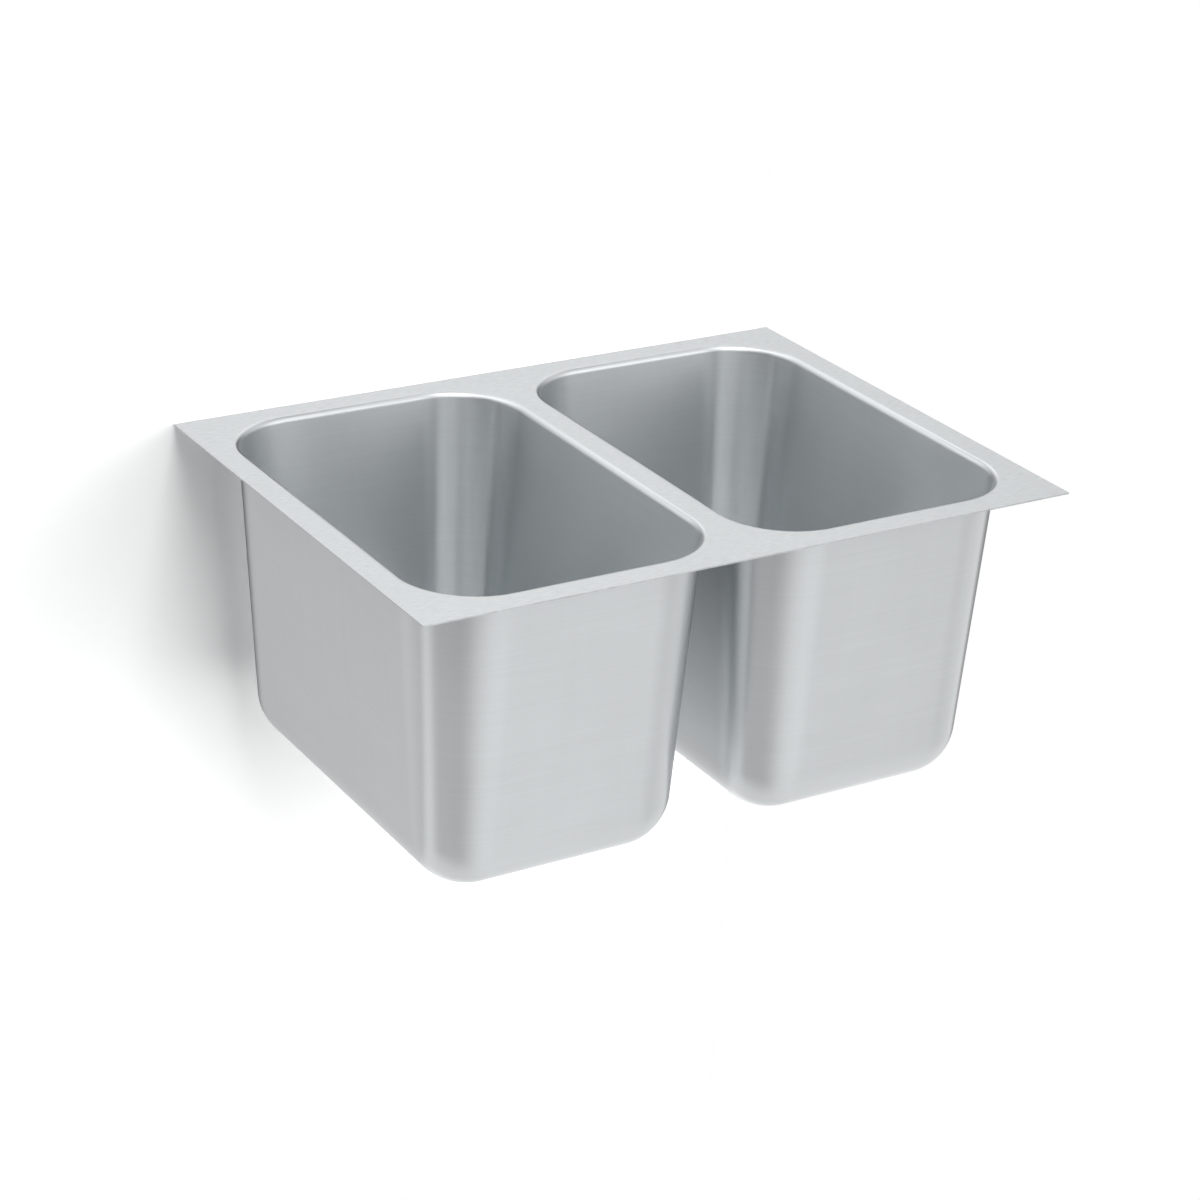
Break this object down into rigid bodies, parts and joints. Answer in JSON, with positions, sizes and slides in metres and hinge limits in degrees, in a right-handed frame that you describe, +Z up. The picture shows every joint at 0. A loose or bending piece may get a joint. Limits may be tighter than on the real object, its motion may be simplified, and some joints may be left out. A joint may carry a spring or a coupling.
{
  "type": "undermount kitchen sink",
  "caption": "Stainless undermount sink with deep, tapered, round-cornered bowls side by side in one flat rim, and a lift-out basket strainer in each drain.",
  "frame": {"origin": "middle of the rim's flat top face, halfway along the divider between the bowls", "axes": "+Z up out of the bowls, +X along the row of bowls towards the right-hand one, +Y towards the back"},
  "size_m": [0.559, 0.42, 0.3066],
  "materials": {
    "bowl_steel": "fine brushed rim and satin drawn bowls",
    "weld_bead": "plain weld bead, slightly darkened",
    "strainer_steel": "polished stainless steel",
    "locknut_metal": "die-cast, dull",
    "post_steel": "turned stainless steel",
    "knob_steel": "turned and polished",
    "spring_steel": "spring wire",
    "putty": "soft sealing ring",
    "gasket_rubber": "matt black rubber",
    "stopper_rubber": "smooth black rubber",
    "fibre_card": "pressed fibre card"
  },
  "bodies": {
    "sink": {"bowl_left": "bowl_steel", "bowl_right": "bowl_steel", "divider_weld": "weld_bead", "strainer_body_left": "strainer_steel", "strainer_body_right": "strainer_steel", "flange_seal_left": "putty", "flange_seal_right": "putty", "floor_gasket_left": "gasket_rubber", "floor_gasket_right": "gasket_rubber", "friction_ring_left": "fibre_card", "friction_ring_right": "fibre_card", "locknut_left": "locknut_metal", "locknut_right": "locknut_metal", "strainer_cross_left": "strainer_steel", "strainer_cross_right": "strainer_steel", "detent_ring_left": "spring_steel", "detent_ring_right": "spring_steel"},
    "basket_left": {"basket_cup_left": "strainer_steel", "basket_post_left": "post_steel", "basket_knob_left": "knob_steel", "stopper_left": "stopper_rubber", "stopper_nut_left": "post_steel"},
    "basket_right": {"basket_cup_right": "strainer_steel", "basket_post_right": "post_steel", "basket_knob_right": "knob_steel", "stopper_right": "stopper_rubber", "stopper_nut_right": "post_steel"}
  },
  "joints": [
    {"name": "basket_left_lift", "type": "slide", "parent": "sink", "child": "basket_left", "axis": [0, 0, 1], "range_m": [0, 0.305]},
    {"name": "basket_right_lift", "type": "slide", "parent": "sink", "child": "basket_right", "axis": [0, 0, 1], "range_m": [0, 0.305]}
  ]
}
